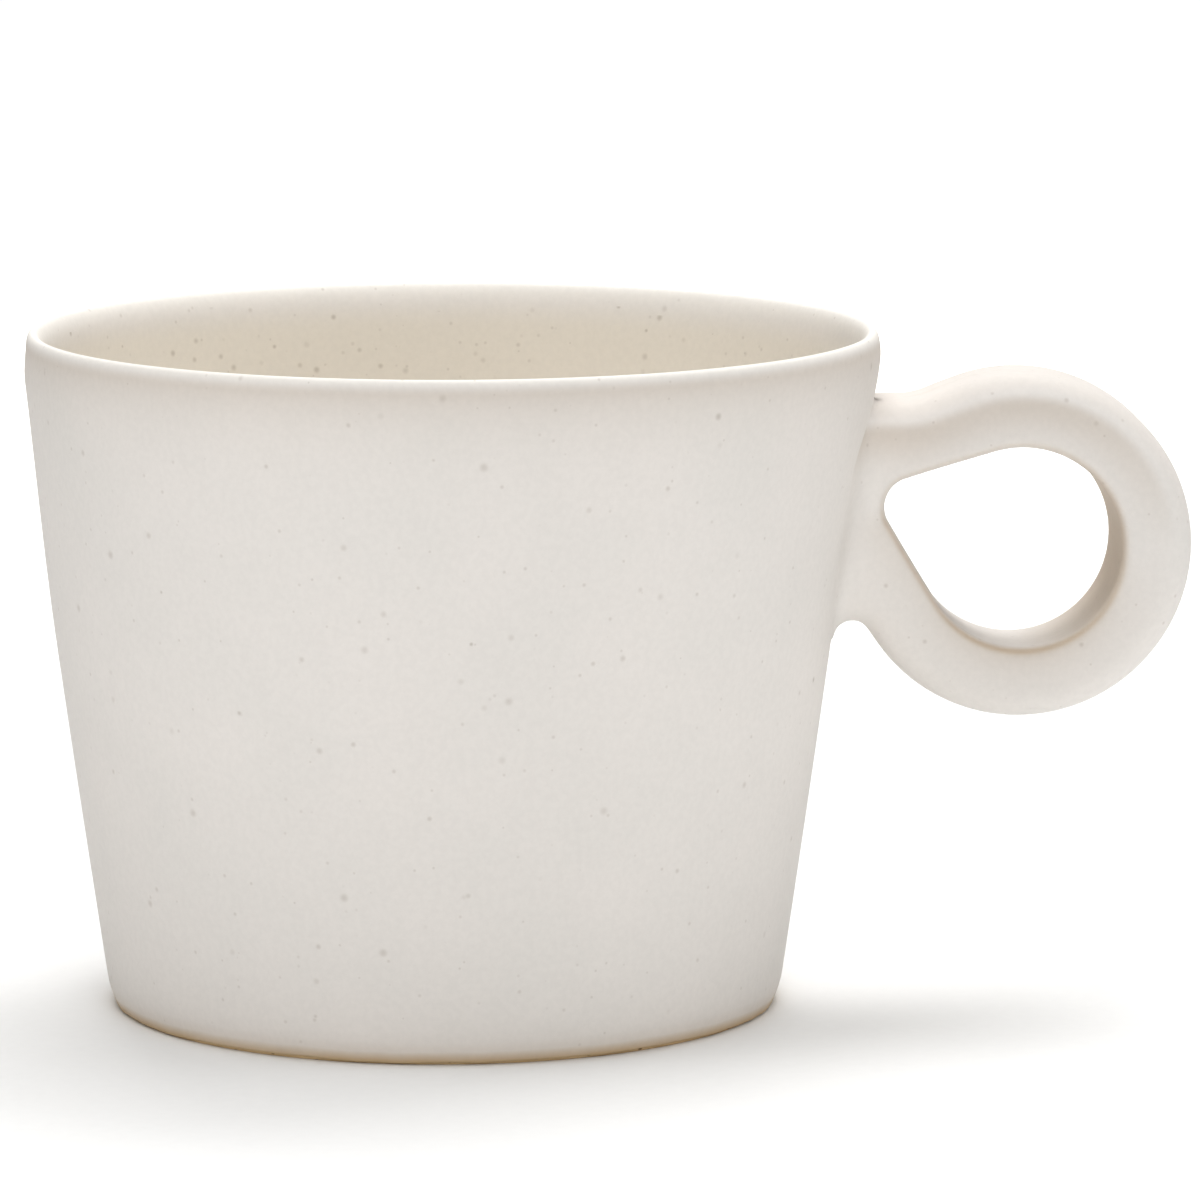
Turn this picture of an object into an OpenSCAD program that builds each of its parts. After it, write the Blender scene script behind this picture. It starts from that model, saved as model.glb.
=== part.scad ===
// Cappuccino cup of speckled stoneware.
// The cup and its ring handle are cast apart, stuck together with slip and glazed, all but the foot.
// Millimetres, +Z up. The origin is the middle of the foot, at table height. The handle points along +X.
// Outside sizes are of the finished cup, over the glaze.

/* [Cup] */
// Outside diameter at the rim
rim_d = 90; // [80:0.5:110]
// Outside diameter that the wall runs down to at the table
base_d = 70.8; // [62:0.2:80]
// Height from table to rim
cup_h = 71.5; // [62:0.5:90]
// How far the outside wall bows out at half height
wall_bow = 0.2; // [0:0.1:1.5]
// Wall thickness at the rim, which is rounded over
rim_wall = 2.2; // [2:0.1:4]
// Wall thickness at the level of the inside floor
base_wall = 3.8; // [3:0.1:6]
// Thickness from the table to the inside floor
floor_t = 5.5; // [4.5:0.1:8]
// Radius between the inside wall and the floor
floor_r = 14; // [6:0.5:20]

/* [Foot] */
// Width of the ring that the cup stands on
foot_w = 5; // [3:0.5:10]
// Depth of the recess under the base
recess_h = 1.2; // [0.5:0.1:2]
// Rounding of the foot's outer edge
edge_r = 0.3; // [0.3:0.1:1.5]
// Bare clay between the edge rounding and the glaze
bare_h = 0.1; // [0.1:0.1:2]

/* [Handle] */
// Outside diameter of the handle's ring
ring_d = 36.4; // [30:0.1:42]
// Thickness of the ring's band, from finger hole to outside
band = 7.6; // [6:0.1:10]
// Width of the handle, from front to back
handle_w = 14; // [10:0.5:18]
// Rounding of the handle's outer edges
edge_round = 3.5; // [1:0.1:3.5]
// Rounding of the finger hole's edges
hole_round = 1.2; // [0.6:0.1:2.2]
// Distance from the rim down to the top of the ring
handle_drop = 4.7; // [3:0.1:12]
// Handle between the wall and the narrow end of the finger hole
web_t = 3; // [2:0.1:6]
// How far the narrow end of the finger hole runs out from its round part
tip_reach = 4.2; // [2:0.1:10]
// Radius of the narrow end
tip_r = 3; // [2:0.1:5]
// Height of the narrow end's centre above the ring's centre
tip_rise = 4.5; // [0:0.1:6]
// Slope of the upper arm's top, in degrees
upper_slope = 20; // [12:0.5:24]
// Drop from the top of the ring to the top of the handle's foot
arm_drop = 2.9; // [2.8:0.1:5]
// Radius where the upper arm levels out towards the wall
shoulder_r = 11.5; // [4:0.5:16]
// Slope of the lower arm's underside, in degrees
lower_slope = 55; // [40:1:65]
// Radius of the notch between the wall and the lower arm
crotch_r = 2; // [1:0.1:5]

/* [Slip and glaze] */
// Thickness of the slip between the wall and the handle's foot
slip_t = 0.4; // [0.3:0.05:1]
// Thickness of the glaze
glaze_t = 0.3; // [0.15:0.05:0.3]
// How far the handle's outline is drawn on into the wall before it is cut to fit
root_grip = 0.5; // [0.3:0.1:1]

/* [Hidden] */

$fn = 96;
wall_steps = 12;
lip_steps = 12;
floor_steps = 12;
edge_steps = 4;
shoulder_steps = 5;
ring_steps = 36;
crotch_steps = 7;
round_steps = 4;
// Degrees between the point of the finger hole nearest the wall and the points drawn either side of it
web_split = 3;

clay_colour = "#c8ac8c";
slip_colour = "#b99b7a";
glaze_colour = "#ddd6cf";

// Points on an arc, from angle a to angle b, both ends included
function arc(centre, r, a, b, steps) =
    [for (k = [0:steps]) centre + r * [cos(a + (b - a) * k / steps), sin(a + (b - a) * k / steps)]];

function reversed(points) = [for (k = [len(points) - 1:-1:0]) points[k]];

// Outside wall: a line from the table to the lip, bowed out a little
rim_r = rim_d / 2;
base_r = base_d / 2;
lip_r = rim_wall / 2;
lip_c = [rim_r - lip_r, cup_h - lip_r];
wall_lean = atan((rim_r - base_r) / cup_h);
wall_top = lip_c + lip_r * [cos(wall_lean), -sin(wall_lean)];
function wall_r(z) =
    let (t = z / wall_top[1])
    base_r + (wall_top[0] - base_r) * t + 4 * wall_bow * t * (1 - t);
function lean_at(z) = atan((wall_r(z + 1) - wall_r(z - 1)) / 2);
// The same wall with a coat of the given depth taken off
function wall_at(depth, z) = [wall_r(z) - depth / cos(wall_lean), z];

// Inside wall: a line from the lip to the floor curve
inner_lean = atan((rim_r - rim_wall - wall_r(floor_t) + base_wall) / (cup_h - floor_t));
inner_top = lip_c + lip_r * [-cos(inner_lean), sin(inner_lean)];
function inner_r(z) = inner_top[0] - (inner_top[1] - z) * tan(inner_lean);
floor_c = [inner_r(floor_t + floor_r) - floor_r / cos(inner_lean), floor_t + floor_r];

// Section of the glazed surface, or of a surface some depth below it: outside wall, lip, inside wall, floor
glaze_z = edge_r + bare_h;
function wall_path(depth) =
    let (top_z = wall_top[1] + depth * sin(wall_lean))
    [for (k = [0:wall_steps - 1]) wall_at(depth, glaze_z + (top_z - glaze_z) * k / wall_steps)];
function skin(depth) = concat(
    wall_path(depth),
    arc(lip_c, lip_r - depth, -wall_lean, 180 - inner_lean, lip_steps),
    arc(floor_c, floor_r + depth, -inner_lean, -90, floor_steps),
    [[0, floor_t - depth]]
);

// Foot: a flat ring with a rounded outer edge around a shallow recess
foot_out = wall_at(glaze_t, edge_r)[0] - edge_r;
foot_in = foot_out - foot_w;
foot = concat(
    [[0, recess_h], [foot_in - recess_h, recess_h], [foot_in, 0]],
    arc([foot_out, edge_r], edge_r, -90, 0, edge_steps)
);

// Handle outline, in the plane through the cup's axis: ring, finger hole, two arms and a foot on the wall
ring_r = ring_d / 2;
hole_r = ring_r - band;
ring_z = cup_h - handle_drop - ring_r;
tip_z = ring_z + tip_rise;
tip_c = [wall_r(tip_z) + web_t + tip_r, tip_z];
ring_c = [tip_c[0] - tip_r + tip_reach + hole_r, ring_z];

// The upper arm's top touches the ring and a wide hollow arc that levels it out towards the wall
shoulder_z = ring_z + ring_r - arm_drop;
shoulder_run =
    ((ring_r + shoulder_r) * (1 - cos(upper_slope)) + arm_drop * cos(upper_slope)) / sin(upper_slope);
shoulder_c = [ring_c[0] - shoulder_run, shoulder_z + shoulder_r];

// The notch's arc touches the wall and the lower arm's underside, which touches the ring
crotch_guess = ring_z - ring_r / 2;
crotch_lean = lean_at(crotch_guess);
crotch_off = wall_r(crotch_guess) - crotch_guess * tan(crotch_lean) + crotch_r / cos(crotch_lean);
crotch_z = (ring_z * cos(lower_slope) - ring_r - crotch_r + (ring_c[0] - crotch_off) * sin(lower_slope))
    / (cos(lower_slope) + tan(crotch_lean) * sin(lower_slope));
crotch_c = [crotch_off + crotch_z * tan(crotch_lean), crotch_z];

// The outline runs on into the wall, past the curve of the wall across the handle's width
foot_sag = wall_r(tip_z) - sqrt(pow(wall_r(tip_z), 2) - pow(handle_w / 2, 2));
root_in = max(foot_sag + glaze_t, hole_round - web_t) + root_grip;
function root_at(z) = [wall_r(z) - root_in, z];
function shoulder_start(inset) =
    270 + asin(max(0, (root_at(shoulder_z)[0] + root_grip - shoulder_c[0]) / (shoulder_r + inset)));
function crotch_end(inset) =
    let (reach = (root_at(crotch_z)[0] + root_grip - crotch_c[0]) / (crotch_r + inset))
    min(180 - crotch_lean, acos(max(-1, reach)));

// Outer outline, drawn in by an inset and going round clockwise from the top of the foot
function outer_loop(inset) =
    let (
        start = shoulder_start(inset),
        shoulder = arc(shoulder_c, shoulder_r + inset, start, 270 + upper_slope, shoulder_steps),
        crotch = arc(crotch_c, crotch_r + inset, 90 - lower_slope, crotch_end(inset), crotch_steps)
    )
    concat(
        [root_at(shoulder[0][1])],
        shoulder,
        arc(ring_c, ring_r - inset, 90 + upper_slope, -90 - lower_slope, ring_steps),
        crotch,
        [root_at(crotch[crotch_steps][1] + root_grip)]
    );

// Finger hole, widened by the inset, going round the same way from where its narrow end faces the wall
tip_angle = atan2(tip_c[1] - ring_c[1], tip_c[0] - ring_c[0]);
tip_spread = acos((hole_r - tip_r) / norm(tip_c - ring_c));
tip_from = tip_angle - tip_spread;
tip_to = tip_angle + tip_spread;
web_angle = 180 - lean_at(tip_z);
function hole_loop(inset) = concat(
    arc(tip_c, tip_r + inset, web_angle - web_split, tip_from, shoulder_steps + 1),
    arc(ring_c, hole_r + inset, tip_from, tip_to - 360, ring_steps),
    arc(tip_c, tip_r + inset, tip_to, web_angle + web_split, crotch_steps + 1)
);

// How far an edge of the given rounding has drawn in, some way out from the handle's middle
function drawn_in(round_r, depth, reach) =
    let (over = max(0, reach - handle_w / 2 + round_r), r = round_r - depth)
    depth + r - sqrt(max(0, r * r - over * over));

// Points of the handle's rounded plate, the given depth below its glazed surface.
// Its levels run from the front face round the front edge, then round the back edge to the back face.
loop_count = len(hole_loop(0));
last_level = 2 * round_steps + 1;
function plate_points(depth) = [
    for (level = [0:last_level])
    let (
        at_front = level <= round_steps,
        turn = 90 / round_steps * (at_front ? round_steps - level : level - round_steps - 1),
        reach = handle_w / 2 - edge_round + (edge_round - depth) * sin(turn),
        outer_in = drawn_in(edge_round, depth, reach),
        hole_in = drawn_in(hole_round, depth, reach)
    )
    for (p = concat(outer_loop(outer_in), hole_loop(hole_in)))
    [p[0], at_front ? -reach : reach, p[1]]
];
function outer_at(level, k) = 2 * loop_count * level + k % loop_count;
function hole_at(level, k) = outer_at(level, k) + loop_count;

// Faces of the plate, all but the strip at its root inside the wall
open_faces = concat(
    [for (level = [0:last_level - 1], k = [0:loop_count - 2])
        [outer_at(level, k), outer_at(level + 1, k), outer_at(level + 1, k + 1), outer_at(level, k + 1)]],
    [for (level = [0:last_level - 1], k = [0:loop_count - 1])
        [hole_at(level, k), hole_at(level, k + 1), hole_at(level + 1, k + 1), hole_at(level + 1, k)]],
    [for (k = [0:loop_count - 1])
        [outer_at(0, k), outer_at(0, k + 1), hole_at(0, k + 1), hole_at(0, k)]],
    [for (k = [0:loop_count - 1])
        let (back = last_level)
        [outer_at(back, k), hole_at(back, k), hole_at(back, k + 1), outer_at(back, k + 1)]]
);
root_faces = [for (level = [0:last_level - 1])
    let (low = loop_count - 1)
    [outer_at(level, low), outer_at(level + 1, low), outer_at(level + 1, 0), outer_at(level, 0)]];
root_rim = concat(
    [for (level = [0:last_level]) outer_at(level, loop_count - 1)],
    [for (level = [last_level:-1:0]) outer_at(level, 0)]
);

// The handle as a solid plate
module handle_plate(depth) {
    polyhedron(plate_points(depth), concat(open_faces, root_faces), convexity = 8);
}

// The handle's coat of glaze alone, open at the root
module handle_skin() {
    outside = plate_points(0);
    shift = len(outside);
    inner_faces = [for (face = open_faces) [for (index = reversed(face)) index + shift]];
    rim_count = len(root_rim);
    rim_faces = [for (k = [0:rim_count - 1])
        let (a = root_rim[k], b = root_rim[(k + 1) % rim_count])
        [a, b, b + shift, a + shift]];
    faces = concat(open_faces, inner_faces, rim_faces);
    polyhedron(concat(outside, plate_points(glaze_t)), faces, convexity = 8);
}

// Everything inside the outside wall, the given depth below its glazed surface
module wall_core(depth) {
    rotate_extrude()
        polygon(concat([[0, glaze_z]], wall_path(depth), [wall_at(depth, wall_top[1]), [0, wall_top[1]]]));
}

module cup_body() {
    color(clay_colour)
        rotate_extrude()
            polygon(concat(foot, skin(glaze_t)));
}

module handle() {
    color(clay_colour)
        difference() {
            handle_plate(glaze_t);
            wall_core(glaze_t - slip_t);
        }
}

module luting_slip() {
    color(slip_colour)
        intersection() {
            rotate_extrude()
                polygon(concat(wall_path(glaze_t - slip_t), reversed(wall_path(glaze_t))));
            handle_plate(glaze_t);
        }
}

module cup_glaze() {
    color(glaze_colour)
        difference() {
            rotate_extrude()
                polygon(concat(skin(0), reversed(skin(glaze_t))));
            handle_plate(glaze_t);
        }
}

module handle_glaze() {
    color(glaze_colour)
        difference() {
            handle_skin();
            wall_core(0);
        }
}

cup_body();
handle();
luting_slip();
cup_glaze();
handle_glaze();
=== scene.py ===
"""Cappuccino cup of speckled stoneware: the looks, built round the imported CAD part."""
import math

import bpy
import numpy as np
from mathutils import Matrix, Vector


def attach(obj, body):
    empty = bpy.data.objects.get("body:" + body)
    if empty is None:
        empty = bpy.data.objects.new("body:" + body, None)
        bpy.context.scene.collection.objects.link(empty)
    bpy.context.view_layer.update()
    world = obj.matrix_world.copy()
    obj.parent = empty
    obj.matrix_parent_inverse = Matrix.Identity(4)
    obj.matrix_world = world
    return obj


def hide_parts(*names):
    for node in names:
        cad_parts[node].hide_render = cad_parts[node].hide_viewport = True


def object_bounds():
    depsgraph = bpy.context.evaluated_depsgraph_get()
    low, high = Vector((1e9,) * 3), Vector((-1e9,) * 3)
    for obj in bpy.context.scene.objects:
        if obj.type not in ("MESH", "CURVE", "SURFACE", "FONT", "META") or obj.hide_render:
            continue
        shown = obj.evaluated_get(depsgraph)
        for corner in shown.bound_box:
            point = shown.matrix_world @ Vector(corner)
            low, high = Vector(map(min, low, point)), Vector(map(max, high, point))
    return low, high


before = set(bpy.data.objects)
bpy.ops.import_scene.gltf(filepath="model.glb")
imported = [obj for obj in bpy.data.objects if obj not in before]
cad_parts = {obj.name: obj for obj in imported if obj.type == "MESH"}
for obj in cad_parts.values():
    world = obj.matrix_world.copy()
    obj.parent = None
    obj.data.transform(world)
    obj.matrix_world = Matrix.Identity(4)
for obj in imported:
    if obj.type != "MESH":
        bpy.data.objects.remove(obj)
cad_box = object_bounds()

# A millimetre in metres
MM = 0.001

# Sizes of the finished cup in millimetres, the same as in the part's source
RIM_D, BASE_D, CUP_H, WALL_BOW = 90.0, 70.8, 71.5, 0.2
RIM_WALL, BASE_WALL, FLOOR_T, FLOOR_R = 2.2, 3.8, 5.5, 14.0
FOOT_W, RECESS_H, EDGE_R, BARE_H = 5.0, 1.2, 0.3, 0.1
RING_D, BAND, HANDLE_W, EDGE_ROUND, HOLE_ROUND = 36.4, 7.6, 14.0, 3.5, 1.2
HANDLE_DROP, WEB_T, TIP_REACH, TIP_R, TIP_RISE = 4.7, 3.0, 4.2, 3.0, 4.5
UPPER_SLOPE, ARM_DROP, SHOULDER_R = math.radians(20.0), 2.9, 11.5
LOWER_SLOPE, CROTCH_R = math.radians(55.0), 2.0
GLAZE_T = 0.3

# The numbers that follow are for the looks only, in millimetres
# The wiped lip: how far it reaches down outside and inside, and how far its top is shifted outwards
LIP_OUT, LIP_IN, LIP_SHIFT = 3.0, 6.0, 0.3
# The sponged foot: how far it draws in, and up to what height
FOOT_DRAW, FOOT_DRAW_H = 0.55, 3.2
# The fired cup out of true: the rim's lean to the handle, its lean on the far side, the swell by the handle
RIM_LEAN, FAR_LEAN, SWELL = 0.66, 0.5, 0.55
# The handle's joint: smoothing on its faces and at its edges, how deep its coat runs into the wall, and how
# far the smoothed coat sinks under the cup's own coat
JOINT_FILLET, EDGE_FILLET, ROOT_DEPTH, ROOT_SINK = 5.0, 0.7, 1.4, 0.006
# How far the cup's clay lies below the under side of its coat
CLAY_GAP = 0.02

# Fineness: faces round the cup; rows on the wall, lip, inside and floor of the coat, of the coat's under side
# and of the clay; step of the handle's net in millimetres
SEGMENTS = 256
COAT_ROWS, UNDER_ROWS, CLAY_ROWS = (64, 28, 44, 28), (24, 16, 14, 16), (24, 12, 14, 16)
NET_STEP = 0.42


def smooth(low, high, value):
    """0 below low, 1 above high, with a soft start and end."""
    t = np.clip((np.asarray(value, float) - low) / (high - low), 0, 1)
    return t * t * (3 - 2 * t)


def arc(centre, r, start, end, steps):
    """Points on an arc between two angles in radians, both ends included."""
    turn = np.linspace(start, end, steps + 1)
    return np.stack([centre[0] + r * np.cos(turn), centre[1] + r * np.sin(turn)], 1)


# Section of the cup: outside wall, lip, inside wall and floor
LIP_R = RIM_WALL / 2
LIP_C = np.array([RIM_D / 2 - LIP_R, CUP_H - LIP_R])
WALL_LEAN = math.atan((RIM_D - BASE_D) / 2 / CUP_H)
WALL_TOP = LIP_C + LIP_R * np.array([math.cos(WALL_LEAN), -math.sin(WALL_LEAN)])


def wall_r(z):
    """Outside radius of the cup at a height."""
    t = np.asarray(z, float) / WALL_TOP[1]
    return BASE_D / 2 + (WALL_TOP[0] - BASE_D / 2) * t + 4 * WALL_BOW * t * (1 - t)


INNER_LEAN = math.atan((RIM_D / 2 - RIM_WALL - wall_r(FLOOR_T) + BASE_WALL) / (CUP_H - FLOOR_T))
INNER_TOP = LIP_C + LIP_R * np.array([-math.cos(INNER_LEAN), math.sin(INNER_LEAN)])


def inner_r(z):
    """Inside radius of the cup at a height above the floor curve."""
    return INNER_TOP[0] - (INNER_TOP[1] - np.asarray(z, float)) * math.tan(INNER_LEAN)


FLOOR_C = np.array([
    inner_r(FLOOR_T + FLOOR_R) - FLOOR_R / math.cos(INNER_LEAN), FLOOR_T + FLOOR_R])
GLAZE_Z = EDGE_R + BARE_H


def soft_corner(start, corner, end, depth, steps):
    """A curve that rounds off a corner, the given depth to its left."""
    t = np.linspace(0, 1, steps + 1)[:, None]
    curve = (1 - t) ** 2 * start + 2 * t * (1 - t) * corner + t ** 2 * end
    way = (1 - t) * (corner - start) + t * (end - corner)
    way /= np.hypot(way[:, 0], way[:, 1])[:, None]
    return curve + depth * np.stack([-way[:, 1], way[:, 0]], 1)


def lip_curve(depth, steps):
    """The lip from the outside wall over to the inside wall: wiped round, more softly on the inside."""
    top = np.array([LIP_C[0] + LIP_SHIFT, CUP_H])
    out_z, in_z = CUP_H - LIP_OUT, CUP_H - LIP_IN
    outer = np.array([wall_r(out_z), out_z])
    inner = np.array([inner_r(in_z), in_z])
    outer_corner = np.array([outer[0] + LIP_OUT * math.tan(WALL_LEAN), CUP_H])
    inner_corner = np.array([inner_r(CUP_H), CUP_H])
    up = soft_corner(outer, outer_corner, top, depth, steps // 2)
    return np.concatenate([up, soft_corner(top, inner_corner, inner, depth, steps // 2)[1:]])


def foot_round(z):
    """How far the wall draws in just above the foot, where it was sponged."""
    return FOOT_DRAW * np.maximum(1 - np.asarray(z, float) / FOOT_DRAW_H, 0) ** 2


def cup_skin(depth, wall_steps, lip_steps, inside_steps, floor_steps):
    """Points (radius, height) down the glazed side of the cup, the given depth below its surface."""
    z = np.linspace(GLAZE_Z, CUP_H - LIP_OUT + depth * math.sin(WALL_LEAN), wall_steps + 1)[:-1]
    wall = np.stack([wall_r(z) - foot_round(z) - depth / math.cos(WALL_LEAN), z], 1)
    lip = lip_curve(depth, lip_steps)
    curve = arc(FLOOR_C, FLOOR_R + depth, -INNER_LEAN, -math.pi / 2, floor_steps)
    share = np.linspace(0, 1, inside_steps + 1)[1:-1, None]
    inside = lip[-1] + (curve[0] - lip[-1]) * share
    share = np.linspace(0, 1, floor_steps // 2 + 1)[1:, None]
    floor = curve[-1] + (np.array([0, FLOOR_T - depth]) - curve[-1]) * share
    return np.concatenate([wall, lip, inside, curve, floor])


def out_of_true(points):
    """The fired cup isn't quite round and upright: its rim leans towards the handle, most of all on the far
    side, and the wall swells just over the handle, where its weight pulled. It fades out over the handle."""
    moved = points.copy()
    z = points[:, 2]
    turn = np.arctan2(points[:, 1], points[:, 0])
    over = smooth(57, 67, z) * (1 - 0.6 * smooth(68, 71.5, z))
    lean = RIM_LEAN * smooth(38, 72, z)
    lean += SWELL * over * np.exp(-(turn / 0.5) ** 2)
    lean += FAR_LEAN * smooth(66.5, 70.5, z) * np.exp(-((np.abs(turn) - math.pi) / 0.8) ** 2)
    fade = 1 - smooth(45.5, 53, np.hypot(points[:, 0], points[:, 1]))
    moved[:, 0] += lean * fade
    return moved


def new_piece(name, points, faces, material, node, normals=None, marks=None):
    """A mesh piece, given in millimetres, that stands for one CAD node and rides on the cup."""
    mesh = bpy.data.meshes.new(name)
    low, high = (np.array(corner) for corner in cad_box)
    points = np.clip(np.asarray(points) * MM, low, high)
    mesh.from_pydata(points.tolist(), [], [list(f) for f in faces])
    mesh.polygons.foreach_set("use_smooth", [True] * len(mesh.polygons))
    for mark, values in (marks or {}).items():
        layer = mesh.attributes.new(mark, "FLOAT", "POINT")
        layer.data.foreach_set("value", np.asarray(values, np.float32))
    mesh.materials.append(material)
    mesh.validate()
    if normals is not None:
        mesh.normals_split_custom_set_from_vertices(normals.tolist())
    piece = bpy.data.objects.new(name, mesh)
    bpy.context.scene.collection.objects.link(piece)
    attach(piece, "root")
    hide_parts(node)
    return piece


def turned(section):
    """A closed section turned round the axis: points, with those on the axis shared, faces and rows."""
    points, rows, first = [], [], []
    turn = np.arange(SEGMENTS) * 2 * math.pi / SEGMENTS
    for row, (r, z) in enumerate(section):
        first.append(len(points))
        if r < 1e-6:
            points.append((0, 0, z))
            rows.append(row)
        else:
            points.extend(zip(r * np.cos(turn), r * np.sin(turn), [z] * SEGMENTS))
            rows.extend([row] * SEGMENTS)
    faces = []
    for row in range(len(section)):
        after = (row + 1) % len(section)
        here, there = section[row][0] < 1e-6, section[after][0] < 1e-6
        if here and there:
            continue
        for k in range(SEGMENTS):
            n = (k + 1) % SEGMENTS
            low = [first[row]] if here else [first[row] + k, first[row] + n]
            high = [first[after]] if there else [first[after] + n, first[after] + k]
            faces.append(low + high)
    return np.array(points, float), faces, np.array(rows)


# Outline of the handle in the plane through the cup's axis
RING_R = RING_D / 2
HOLE_R = RING_R - BAND
RING_Z = CUP_H - HANDLE_DROP - RING_R
TIP_C = np.array([wall_r(RING_Z + TIP_RISE) + WEB_T + TIP_R, RING_Z + TIP_RISE])
RING_C = np.array([TIP_C[0] - TIP_R + TIP_REACH + HOLE_R, RING_Z])
SHOULDER_Z = RING_Z + RING_R - ARM_DROP
SHOULDER_RUN = ((RING_R + SHOULDER_R) * (1 - math.cos(UPPER_SLOPE)) + ARM_DROP * math.cos(UPPER_SLOPE)) \
    / math.sin(UPPER_SLOPE)
SHOULDER_C = np.array([RING_C[0] - SHOULDER_RUN, SHOULDER_Z + SHOULDER_R])
CROTCH_GUESS = RING_Z - RING_R / 2
CROTCH_TAN = float(wall_r(CROTCH_GUESS + 1) - wall_r(CROTCH_GUESS - 1)) / 2
CROTCH_OFF = wall_r(CROTCH_GUESS) - CROTCH_GUESS * CROTCH_TAN + CROTCH_R * math.hypot(1, CROTCH_TAN)
CROTCH_Z = (RING_Z * math.cos(LOWER_SLOPE) - RING_R - CROTCH_R
            + (RING_C[0] - CROTCH_OFF) * math.sin(LOWER_SLOPE)) \
    / (math.cos(LOWER_SLOPE) + CROTCH_TAN * math.sin(LOWER_SLOPE))
CROTCH_C = np.array([CROTCH_OFF + CROTCH_Z * CROTCH_TAN, CROTCH_Z])


def handle_outline():
    """Outer outline, clockwise from the top of the foot, run on well into the wall."""
    quarter = math.pi / 2
    deep = float(wall_r(RING_Z)) - 12
    arcs = [
        (SHOULDER_C, SHOULDER_R, 3 * quarter - 0.02, 3 * quarter + UPPER_SLOPE),
        (RING_C, RING_R, quarter + UPPER_SLOPE, -quarter - LOWER_SLOPE),
        (CROTCH_C, CROTCH_R, quarter - LOWER_SLOPE, math.pi - math.atan(CROTCH_TAN))]
    ends = [arc(*a, 1) for a in arcs]
    lines = [(np.array([deep, ends[0][0][1]]), ends[0][0]), (ends[0][1], ends[1][0]),
             (ends[1][1], ends[2][0]), (ends[2][1], np.array([deep, ends[2][1][1]]))]
    return arcs, lines


def hole_outline():
    """Finger hole: the round part and its narrow end towards the wall, clockwise."""
    away = TIP_C - RING_C
    angle = math.atan2(away[1], away[0])
    spread = math.acos((HOLE_R - TIP_R) / math.hypot(*away))
    arcs = [(RING_C, HOLE_R, angle - spread, angle + spread - 2 * math.pi),
            (TIP_C, TIP_R, angle + spread, angle - spread)]
    ends = [arc(*a, 1) for a in arcs]
    return arcs, [(ends[0][1], ends[1][0]), (ends[1][1], ends[0][0])]


OUTER, HOLE = handle_outline(), hole_outline()


def distance_to(outline, points):
    """Distance of flat points from a clockwise outline of touching arcs and lines, negative inside."""
    best = np.full(len(points), 1e9)
    arcs, lines = outline
    for centre, r, start, end in arcs:
        off = points - centre
        reach = np.hypot(off[:, 0], off[:, 1])
        middle, half = (start + end) / 2, abs(end - start) / 2
        within = off @ np.array([math.cos(middle), math.sin(middle)]) >= reach * math.cos(half)
        side = np.where(within, (reach - r) * np.sign(start - end), 1e9)
        best = np.where(np.abs(side) < np.abs(best), side, best)
    for start, end in lines:
        run, off = end - start, points - start
        gap = off - np.clip(off @ run / (run @ run), 0, 1)[:, None] * run
        side = np.hypot(gap[:, 0], gap[:, 1]) * np.where(run[0] * off[:, 1] > run[1] * off[:, 0], 1, -1)
        best = np.where(np.abs(side) < np.abs(best), side, best)
    return best


def rounded(flat, across, r):
    """Distance from a slab with rounded edges, from the distances to its outline and to its faces."""
    x, y = flat + r, across + r
    return np.minimum(np.maximum(x, y), 0) + np.hypot(np.maximum(x, 0), np.maximum(y, 0)) - r


def handle_distance(points, outer=None, hole=None):
    """Distance from the handle's glazed surface with its joint smoothed into the wall, negative inside."""
    flat = points[:, [0, 2]]
    outer = distance_to(OUTER, flat) if outer is None else outer
    hole = -distance_to(HOLE, flat) if hole is None else hole
    across = np.abs(points[:, 1]) - HANDLE_W / 2
    plate = np.maximum(rounded(outer, across, EDGE_ROUND), rounded(hole, across, HOLE_ROUND))
    wall = (np.hypot(points[:, 0], points[:, 1]) - wall_r(points[:, 2])) * math.cos(WALL_LEAN) + ROOT_SINK
    k = EDGE_FILLET + (JOINT_FILLET - EDGE_FILLET) * smooth(0.4, 6.5, -outer) * smooth(0.4, 3.2, -hole)
    overlap = np.maximum(k - np.abs(plate - wall), 0) / k
    joined = np.minimum(plate, wall) - overlap ** 3 * k / 6
    past_fillet = plate - k - 0.2
    return np.maximum(np.maximum(joined, -wall - ROOT_DEPTH), past_fillet)


def slope_of(points):
    """Direction in which the handle's distance grows fastest."""
    step = 0.01
    parts = []
    for axis in range(3):
        shift = np.zeros(3)
        shift[axis] = step
        parts.append((handle_distance(points + shift) - handle_distance(points - shift)) / (2 * step))
    return np.stack(parts, 1)


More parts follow.
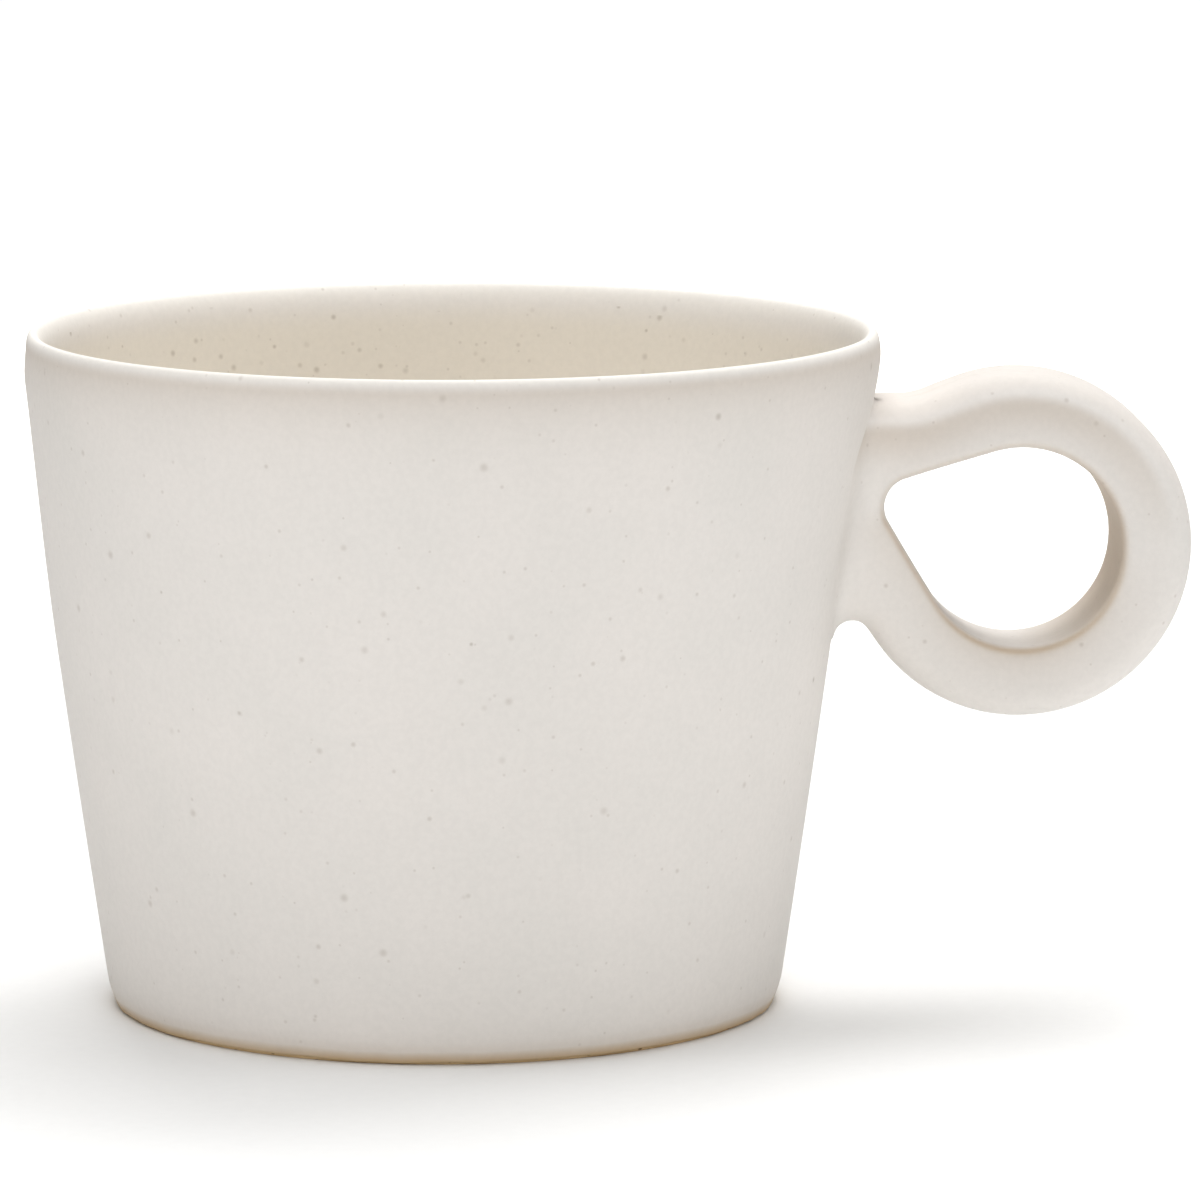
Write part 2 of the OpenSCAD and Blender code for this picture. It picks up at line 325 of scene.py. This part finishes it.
def handle_net():
    """The handle's surface as a net of quads: one point in each grid cell that it crosses, drawn onto it."""
    low = np.array([wall_r(20) - ROOT_DEPTH - 4, -HANDLE_W / 2 - JOINT_FILLET - 2, RING_Z - RING_R - 2])
    high = np.array([RING_C[0] + RING_R + 1.5, HANDLE_W / 2 + JOINT_FILLET + 2, RING_Z + RING_R + 2])
    off_grid = 0.013
    lines = [np.arange(a, b, NET_STEP) + off_grid for a, b in zip(low, high)]
    across, up = np.meshgrid(lines[0], lines[2], indexing="ij")
    flat = np.stack([across.ravel(), up.ravel()], 1)
    outer, hole = distance_to(OUTER, flat), -distance_to(HOLE, flat)
    layers = []
    for y in lines[1]:
        layer = np.stack([flat[:, 0], np.full(len(flat), y), flat[:, 1]], 1)
        layers.append(handle_distance(layer, outer, hole).reshape(across.shape))
    inside = np.stack(layers, 1) < 0

    nx, ny, nz = inside.shape
    count = sum(inside[i:nx - 1 + i, j:ny - 1 + j, k:nz - 1 + k].astype(int)
                for i in (0, 1) for j in (0, 1) for k in (0, 1))
    crossed = (count > 0) & (count < 8)
    number = np.full(crossed.shape, -1)
    number[crossed] = np.arange(crossed.sum())
    start = np.array([line[0] for line in lines])
    points = start + (np.argwhere(crossed) + 0.5) * NET_STEP
    faces = []
    for axis in range(3):
        u, v = (axis + 1) % 3, (axis + 2) % 3
        turned_in = np.moveaxis(inside, (axis, u, v), (0, 1, 2))
        cells = np.moveaxis(number, (axis, u, v), (0, 1, 2))
        a, b = turned_in[:-1, 1:-1, 1:-1], turned_in[1:, 1:-1, 1:-1]
        for edges, forward in ((a & ~b, True), (b & ~a, False)):
            i, j, k = np.nonzero(edges)
            quad = [cells[i, j, k], cells[i, j + 1, k], cells[i, j + 1, k + 1], cells[i, j, k + 1]]
            faces.append(np.stack(quad if forward else quad[::-1], 1))
    faces = np.concatenate(faces)

    # Even the net out a few times, and each time draw its points onto the surface again
    rounds, keep, longest, least_slope = 7, 0.4, 0.4, 0.05
    ends = np.concatenate([faces[:, [k, (k + 1) % 4]] for k in range(4)])
    for turn in range(rounds):
        total, uses = np.zeros_like(points), np.zeros(len(points))
        np.add.at(total, ends[:, 0], points[ends[:, 1]])
        np.add.at(uses, ends[:, 0], 1)
        if turn:
            points = keep * points + (1 - keep) * total / uses[:, None]
        for _ in range(2):
            slope = slope_of(points)
            size = np.maximum((slope ** 2).sum(1), least_slope)
            step = (handle_distance(points) / size)[:, None] * slope
            points = points - np.clip(step, -longest, longest)
    slope = slope_of(points)
    normals = slope / np.maximum(np.linalg.norm(slope, axis=1), 1e-9)[:, None]
    return points, faces, normals


# Materials
def linear(code, alpha=1.0):
    """An sRGB hex colour as linear values."""
    parts = [int(code[k:k + 2], 16) / 255 for k in (1, 3, 5)]
    return tuple(c / 12.92 if c <= 0.04045 else ((c + 0.055) / 1.055) ** 2.4 for c in parts) + (alpha,)


def put(tree, kind, sockets=(), **settings):
    """Adds a node with its settings; a socket is given a value or the output that it is linked from."""
    made = tree.nodes.new("ShaderNode" + kind)
    for name, value in settings.items():
        setattr(made, name, value)
    for socket, value in dict(sockets).items():
        if isinstance(value, bpy.types.NodeSocket):
            tree.links.new(value, made.inputs[socket])
        else:
            made.inputs[socket].default_value = value
    return made


def new_material(name):
    """An empty node material with its output and a place on the object in metres."""
    material = bpy.data.materials.new(name)
    material.use_nodes = True
    tree = material.node_tree
    tree.nodes.clear()
    out = put(tree, "OutputMaterial")
    place = put(tree, "TexCoord").outputs["Object"]
    return material, tree, out, place


def noise(tree, place, size, detail, roughness=0.5):
    """Noise between 0 and 1, with one light and one dark mark in about the given size in millimetres."""
    return put(tree, "TexNoise", {
        "Vector": place, "Scale": 1 / MM / size, "Detail": detail, "Roughness": roughness}).outputs["Fac"]


def blend(tree, factor, under, over):
    """One colour laid over another, by a factor from 0 to 1."""
    return put(tree, "Mix", {"Factor": factor, "A": under, "B": over}, data_type="RGBA").outputs["Result"]


def satin_glaze():
    """Satin stoneware glaze, dipped and fired: milky off-white, softly clouded where it ran thicker or
    thinner, with brown iron specks that bled through from the clay. A low even sheen, no sharp reflection."""
    material, tree, out, place = new_material("satin_stoneware_glaze")
    tone = noise(tree, place, 14, 3.0, 0.55)
    share = put(tree, "MapRange", {
        "Value": tone, "From Min": 0.3, "From Max": 0.7, "To Min": 0.0, "To Max": 1.0})
    colour = blend(tree, share.outputs["Result"], linear("#e7e2dd"), linear("#e3dfda"))

    # By the marks on its points, the coat is a darker, warmer white inside the cup, which is painted shade;
    # near white on the lip, a painted highlight; cream below the lip, partly where the glaze ran thinner and
    # partly painted shade, with cream-grey painted shade above the foot and on the handle; the brown of
    # toasted clay where it breaks above the bare foot and, partly painted shade, on the finger hole's edges;
    # dark in the crease over the handle, painted shade
    marks = {}
    for mark, code in (("inside_shade_and_specks", "#e4ddd1"), ("painted_lip_highlight", "#f4f0e9"), ("thin_glaze_and_shade", "#d0c6bb"),
                       ("breaking_glaze_and_shade", "#bfa580"), ("painted_crease_shade", "#4d4034")):
        marks[mark] = put(tree, "Attribute", attribute_name=mark).outputs["Fac"]
        colour = blend(tree, marks[mark], colour, linear(code))

    # Milky grain in the glaze, 0.35 mm across
    grain_share = put(tree, "MapRange", {
        "Value": noise(tree, place, 0.7, 2.0, 0.6), "From Min": 0.35, "From Max": 0.65,
        "To Min": 0.985, "To Max": 1.015})
    colour = put(tree, "VectorMath", {0: colour, "Scale": grain_share.outputs["Result"]},
                 operation="SCALE").outputs["Vector"]

    # Iron specks: spacing and largest radius in mm, share of cells with one outside and inside, colour and
    # strength
    for spacing, radius, share_out, share_in, code, strength in (
            (6.0, 0.60, 0.40, 0.60, "#85745f", 0.40),
            (4.0, 0.65, 0.75, 0.90, "#a09284", 0.32),
            (2.2, 0.56, 0.00, 0.85, "#93836f", 0.40),
            (1.5, 0.32, 0.45, 0.60, "#a09284", 0.27)):
        cells = put(tree, "TexVoronoi", {"Vector": place, "Scale": 1 / MM / spacing, "Randomness": 1.0})
        pick = put(tree, "SeparateColor", {"Color": cells.outputs["Color"]})
        share = put(tree, "MapRange", {
            "Value": marks["inside_shade_and_specks"], "To Min": share_out, "To Max": share_in})
        chosen = put(tree, "Math", {0: pick.outputs["Red"], 1: share.outputs["Result"]},
                     operation="LESS_THAN")
        size = put(tree, "MapRange", {
            "Value": pick.outputs["Green"], "To Min": 0.45 * radius / spacing, "To Max": radius / spacing})
        near = put(tree, "Math", {0: cells.outputs["Distance"], 1: size.outputs["Result"]},
                   operation="DIVIDE")
        dot = put(tree, "MapRange", {
            "Value": near.outputs["Value"], "From Min": 0.1, "From Max": 1.0,
            "To Min": strength, "To Max": 0.0}, interpolation_type="SMOOTHSTEP")
        mask = put(tree, "Math", {0: dot.outputs["Result"], 1: chosen.outputs["Value"]},
                   operation="MULTIPLY")
        colour = blend(tree, mask.outputs["Value"], colour, linear(code))

    # The surface is slightly uneven, as a brushed and fired coat is
    ripple = noise(tree, place, 2.2, 3.0)
    bump = put(tree, "Bump", {"Height": ripple, "Strength": 0.04, "Distance": 0.0003})
    sheen = put(tree, "MapRange", {"Value": tone, "To Min": 0.62, "To Max": 0.76})
    surface = put(tree, "BsdfPrincipled", {
        "Base Color": colour, "Roughness": sheen.outputs["Result"], "IOR": 1.25,
        "Normal": bump.outputs["Normal"]})
    tree.links.new(surface.outputs["BSDF"], out.inputs["Surface"])
    return material


def bare_stoneware():
    """Unglazed stoneware, sponged and fired: matt sandy buff, toasted golden in places, with dark grit."""
    material, tree, out, place = new_material("bare_toasted_stoneware")
    cloud = noise(tree, place, 6, 4.0, 0.6)
    colour = blend(tree, cloud, linear("#cfae7c"), linear("#dcc39d"))
    grit = put(tree, "TexVoronoi", {"Vector": place, "Scale": 1 / MM / 0.9})
    pick = put(tree, "SeparateColor", {"Color": grit.outputs["Color"]})
    few = put(tree, "Math", {0: pick.outputs["Red"], 1: 0.3}, operation="LESS_THAN")
    near = put(tree, "MapRange", {
        "Value": grit.outputs["Distance"], "From Min": 0.15, "From Max": 0.35, "To Min": 0.8, "To Max": 0.0})
    mask = put(tree, "Math", {0: near.outputs["Result"], 1: few.outputs["Value"]}, operation="MULTIPLY")
    colour = blend(tree, mask.outputs["Value"], colour, linear("#5f4529"))
    sand = noise(tree, place, 0.5, 3.0, 0.7)
    bump = put(tree, "Bump", {"Height": sand, "Strength": 0.4, "Distance": 0.0002})
    surface = put(tree, "BsdfPrincipled", {
        "Base Color": colour, "Roughness": 0.85, "IOR": 1.45, "Normal": bump.outputs["Normal"]})
    tree.links.new(surface.outputs["BSDF"], out.inputs["Surface"])
    return material


def fired_slip():
    """Slip that was brushed on as glue, then fired: smooth matt buff clay with a fine grain."""
    material, tree, out, place = new_material("fired_joining_slip")
    colour = blend(tree, noise(tree, place, 0.8, 4.0), linear("#ad8f6e"), linear("#c4a787"))
    surface = put(tree, "BsdfPrincipled", {"Base Color": colour, "Roughness": 0.8, "IOR": 1.45})
    tree.links.new(surface.outputs["BSDF"], out.inputs["Surface"])
    return material


GLAZE, CLAY, SLIP = satin_glaze(), bare_stoneware(), fired_slip()


def cup_coat():
    """The coat of glaze on the cup: a shell with a rolled lower edge that wanders a little above the foot."""
    outside = cup_skin(0, *COAT_ROWS)
    under = cup_skin(GLAZE_T, *UNDER_ROWS)[::-1]
    half = GLAZE_T / 2
    roll = arc((outside[0][0] - half, outside[0][1]), half, -math.pi * 0.85, -math.pi * 0.12, 6)
    section = np.concatenate([outside, under[:-1], roll])
    points, faces, rows = turned(section)
    turn = np.arctan2(points[:, 1], points[:, 0])
    # Waves round the lower edge: how many, how high in millimetres, and where they start
    wander = sum(size * np.sin(times * turn + start) for times, size, start in (
        (5, 0.05, 0.4), (9, 0.04, 2.1), (17, 0.035, 4.4), (31, 0.03, 1.3), (53, 0.025, 3.0)))
    points[:, 2] += (0.04 + wander) * (1 - smooth(0.2, 6, points[:, 2]))
    # Outside, cream below the lip, partly where the coat ran thinner and partly painted shade; cream-grey
    # painted shade above the foot. A painted highlight on the lip, and the coat breaks at its lower edge
    down = np.maximum(CUP_H - points[:, 2], 0)
    over = rows > COAT_ROWS[0] + COAT_ROWS[1] // 2
    # Painted shade inside the cup, from a little below the lip down; the same mark brings more iron specks
    # there
    inside = over * smooth(0.8, 5, down)
    thin_and_shade = 0.75 * smooth(0.3, 1.5, down) * np.exp(-np.maximum(down - 1.5, 0) / 3.2)
    # Painted shade on the wall just above the foot
    low = 0.25 * np.exp(-points[:, 2] / 5) + 0.55 * np.exp(-points[:, 2] / 1.2)
    thin_and_shade = ~over * np.maximum(thin_and_shade, low)
    # A painted highlight along the lip, reaching further down on the inside
    lip_highlight = 0.9 * np.exp(-(down / np.where(over, 1.6, 0.6)) ** 2)
    breaking = np.exp(-np.maximum(points[:, 2] - GLAZE_Z, 0) / 0.5)
    return new_piece("cup_coat", out_of_true(points), faces, GLAZE, "cup_glaze",
                     marks={"thin_glaze_and_shade": thin_and_shade, "painted_lip_highlight": lip_highlight, "inside_shade_and_specks": inside,
                            "breaking_glaze_and_shade": breaking})


def cup_clay():
    """The clay of the cup, under the glaze and bare at the foot, with a recess inside the foot ring."""
    hidden = cup_skin(GLAZE_T + CLAY_GAP, *CLAY_ROWS)
    foot_out = wall_r(EDGE_R) - foot_round(EDGE_R) - GLAZE_T / math.cos(WALL_LEAN) - EDGE_R
    foot_in = foot_out - FOOT_W
    soft = 0.5
    recess = arc((foot_in - RECESS_H - 0.2, RECESS_H - soft), soft, math.pi / 2, math.pi / 4, 4)
    ring = arc((foot_in + 0.25, soft), soft, -math.pi * 0.75, -math.pi / 2, 4)
    edge = arc((foot_out, EDGE_R), EDGE_R, -math.pi / 2, 0, 6)
    flat = np.linspace(ring[-1], edge[0], 8)[1:-1]
    base = np.linspace([0, RECESS_H], recess[0], 14)[:-1]
    points, faces, _ = turned(np.concatenate([base, recess, ring, flat, edge, hidden]))
    return new_piece("cup_clay", out_of_true(points), faces, CLAY, "cup_body")


def handle_coat():
    """The coat of glaze on the handle, smoothed with a wet finger into the wall on both faces."""
    points, faces, normals = handle_net()
    step = 0.05
    flat, up, side = points[:, [0, 2]], np.array([0, step]), np.array([step, 0])

    def facing(outline, way):
        """How far the outline's outside faces along a step, from 0 to 1."""
        return np.maximum(distance_to(outline, flat + way) - distance_to(outline, flat - way), 0) / (2 * step)

    outer, hole = -distance_to(OUTER, flat), distance_to(HOLE, flat)
    outer_up, hole_up, hole_far = facing(OUTER, up), facing(HOLE, -up), facing(HOLE, side)
    across = np.abs(points[:, 1]) - HANDLE_W / 2
    # Painted shade on both faces in a band below the upper edges and just under the finger hole, on the
    # handle's top by its outer edge and on the hole's far wall. Brown on the hole's edges, most on its lower
    # edge, partly glaze that breaks over the sharp edge and partly painted shade; the brown on the hole's far
    # wall is painted shade
    face = smooth(-2, -0.4, across)
    thin_and_shade = np.maximum.reduce([
        face * 0.8 * outer_up * smooth(1.6, 2.9, outer) * np.exp(-(np.maximum(outer - 2.9, 0) / 2.8) ** 2),
        face * 0.7 * hole_up * np.exp(-np.maximum(hole - 1, 0) / 2.2),
        0.3 * outer_up * (1 - smooth(0.5, 2, outer)),
        hole_far * (1 - smooth(0.1, 0.6, hole))])
    # Brown on the hole's edges, partly glaze breaking and partly painted shade; on its far wall, painted
    # shade
    breaking = np.maximum((0.2 + 0.45 * hole_up) * np.exp(-((across + hole) / 0.5) ** 2),
                          0.25 * hole_far * (1 - smooth(0.1, 0.5, hole)))
    # A dark spot of painted shade in the crease where the handle's top meets the wall
    corner = np.array([wall_r(SHOULDER_Z) + 0.3, -2, SHOULDER_Z + 0.45])
    crease_shade = np.exp(-(((points - corner) / np.array([0.5, 1.4, 0.7])) ** 2).sum(1))
    return new_piece("handle_coat", out_of_true(points), faces, GLAZE, "handle_glaze",
                     normals=normals, marks={
                         "thin_glaze_and_shade": thin_and_shade, "breaking_glaze_and_shade": breaking, "painted_crease_shade": crease_shade})


cup_coat()
cup_clay()
handle_coat()
for name, material in (("handle", CLAY), ("luting_slip", SLIP)):
    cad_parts[name].data.materials.clear()
    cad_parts[name].data.materials.append(material)


# Table: a white sheet that the camera sees as white, with the cup's soft shadow kept
def white_table():
    """Matt white paper on the table, with a round opening hidden under the cup, so that a lamp below the
    table lights the cup's base. From below the paper lets the view through."""
    material, tree, out, place = new_material("matt_white_paper")
    colour = blend(tree, noise(tree, place, 1.5, 4.0), linear("#f4f4f3"), linear("#f8f8f7"))
    paper = put(tree, "BsdfDiffuse", {"Color": colour})
    path = put(tree, "LightPath")
    seen = put(tree, "Math", {0: path.outputs["Is Camera Ray"], 1: path.outputs["Is Glossy Ray"]},
               operation="MAXIMUM")
    seen = put(tree, "Math", {0: seen.outputs["Value"], 1: path.outputs["Is Transmission Ray"]},
               operation="MAXIMUM")
    away = put(tree, "VectorMath", {0: place}, operation="LENGTH")
    far = put(tree, "MapRange", {
        "Value": away.outputs["Value"], "From Min": 0.16, "From Max": 0.9, "To Min": 0.0, "To Max": 0.8})
    lift = put(tree, "Math", {0: seen.outputs["Value"], 1: far.outputs["Result"]}, operation="MULTIPLY")
    glow = put(tree, "Emission", {"Color": (1, 1, 1, 1), "Strength": lift.outputs["Value"]})
    both = put(tree, "AddShader", {0: paper.outputs["BSDF"], 1: glow.outputs["Emission"]})
    clear = put(tree, "BsdfTransparent")
    below = put(tree, "NewGeometry").outputs["Backfacing"]
    side = put(tree, "Math", {0: below, 1: path.outputs["Is Camera Ray"]}, operation="MULTIPLY")
    mixed = put(tree, "MixShader", {
        "Fac": side.outputs["Value"], 1: both.outputs["Shader"], 2: clear.outputs["BSDF"]})
    tree.links.new(mixed.outputs["Shader"], out.inputs["Surface"])
    mesh = bpy.data.meshes.new("white_table")
    sides, opening, reach = 64, (BASE_D / 2 - 1.2) * MM, 4.0
    turn = np.arange(sides) * 2 * math.pi / sides
    ring = np.stack([np.cos(turn), np.sin(turn), 0 * turn], 1)
    points = np.concatenate([ring * opening, ring * reach])
    faces = [(k, k + sides, (k + 1) % sides + sides, (k + 1) % sides) for k in range(sides)]
    mesh.from_pydata(points.tolist(), [], faces)
    mesh.materials.append(material)
    table = bpy.data.objects.new("white_table", mesh)
    bpy.context.scene.collection.objects.link(table)


white_table()

# Soft studio light: each softbox's name, turn from the front towards the handle and height in degrees, watts
SOFTBOXES = (
    ("softbox_overhead", 0, 90, 4.0),
    ("softbox_back_right", 135, 60, 4.5),
    ("softbox_back", 180, 60, 3.6),
    ("softbox_back_low", 180, 25, 1.5),
    ("softbox_left_high", -90, 60, 2.2),
    ("softbox_front", 0, 25, 4.7),
    ("softbox_right", 90, 25, 2.4),
    ("softbox_left", -73, 20, 1.4),
    ("softbox_below", 0, -90, 6.0),
)
SOFTBOX_SIZE, SOFTBOX_AWAY, SOFTBOX_AIM = 0.6, 1.1, Vector((0, 0, 0.04))
for name, turn, height, power in SOFTBOXES:
    turn, height = math.radians(turn), math.radians(height)
    way = Vector((math.sin(turn) * math.cos(height), -math.cos(turn) * math.cos(height), math.sin(height)))
    lamp = bpy.data.lights.new(name, "AREA")
    lamp.shape = "SQUARE"
    lamp.size = SOFTBOX_SIZE
    lamp.energy = power
    box = bpy.data.objects.new(name, lamp)
    bpy.context.scene.collection.objects.link(box)
    box.location = SOFTBOX_AIM + way * SOFTBOX_AWAY
    box.rotation_euler = (-way).to_track_quat("-Z", "Y").to_euler()
    box.visible_camera = False

room = bpy.data.worlds.new("studio_room")
room.use_nodes = True
room.node_tree.nodes["Background"].inputs["Color"].default_value = linear("#f2efec")
room.node_tree.nodes["Background"].inputs["Strength"].default_value = 0.05
bpy.context.scene.world = room

# Camera: about 0.8 m away, well above the rim, looking down and a little towards the handle, in degrees
LOOK_DOWN, LOOK_TURN = 8.701, 3.198
lens = bpy.data.cameras.new("camera")
lens.sensor_width = 36.0
lens.lens = 225.8
lens.clip_start, lens.clip_end = 0.01, 20.0
camera = bpy.data.objects.new("camera", lens)
camera.location = (-0.0274, -0.7855, 0.1629)
camera.rotation_euler = (math.radians(90 - LOOK_DOWN), 0, math.radians(-LOOK_TURN))
bpy.context.scene.collection.objects.link(camera)
bpy.context.scene.camera = camera
bpy.context.scene.view_settings.view_transform = "Standard"
